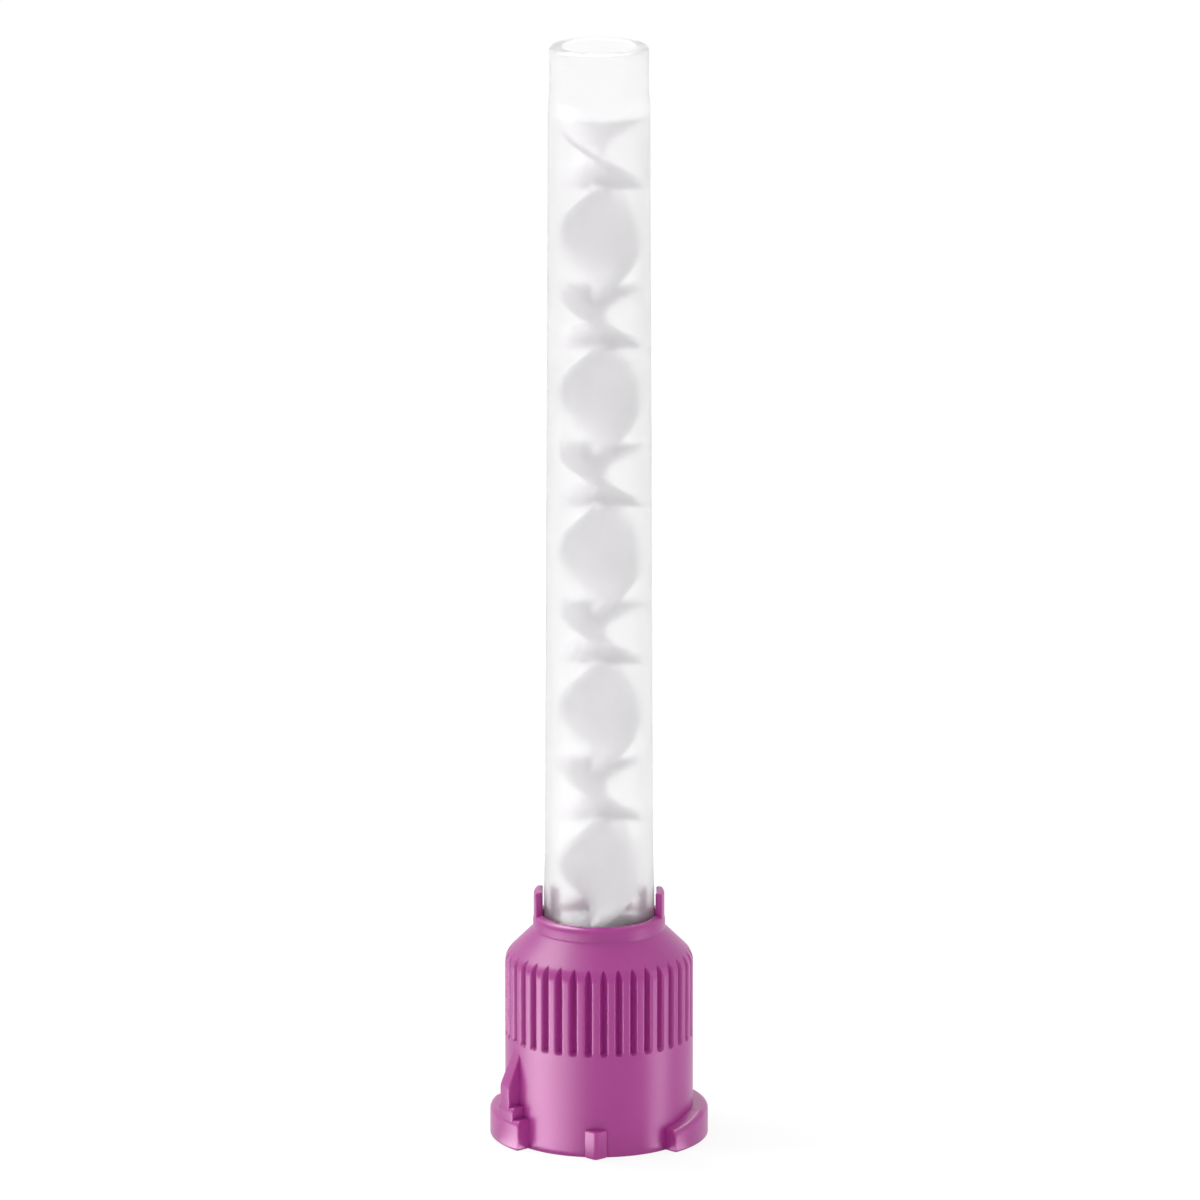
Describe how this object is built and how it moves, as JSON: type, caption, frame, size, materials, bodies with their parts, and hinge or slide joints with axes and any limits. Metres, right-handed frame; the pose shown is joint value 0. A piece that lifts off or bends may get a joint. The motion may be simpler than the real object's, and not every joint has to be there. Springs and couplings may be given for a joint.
{
  "type": "static mixer",
  "caption": "Disposable static mixer: a frosted tapered tube with a helical mixing element inside and a ribbed bayonet coupling cap that turns to lock on a two-component cartridge.",
  "frame": {"origin": "on the mixer's axis in the plane of the cap's base ring", "axes": "+Z along the axis towards the outlet, +X through the middle of the plain bayonet lug, -Y through the key rib on the front"},
  "size_m": [0.0176, 0.0161, 0.09],
  "materials": {
    "pink_cap": "satin moulded pink polypropylene",
    "frosted_tube": "translucent frosted polypropylene",
    "white_insert": "natural white moulded plastic"
  },
  "bodies": {
    "mixer": {"mixer_housing": "frosted_tube", "mixing_element": "white_insert"},
    "cap": {"coupling_cap": "pink_cap"}
  },
  "joints": [
    {"name": "cap_turn", "type": "hinge", "parent": "mixer", "child": "cap", "pos_m": [0, 0, 0.009], "axis": [0, 0, 1], "range_deg": [-90, 0]}
  ]
}
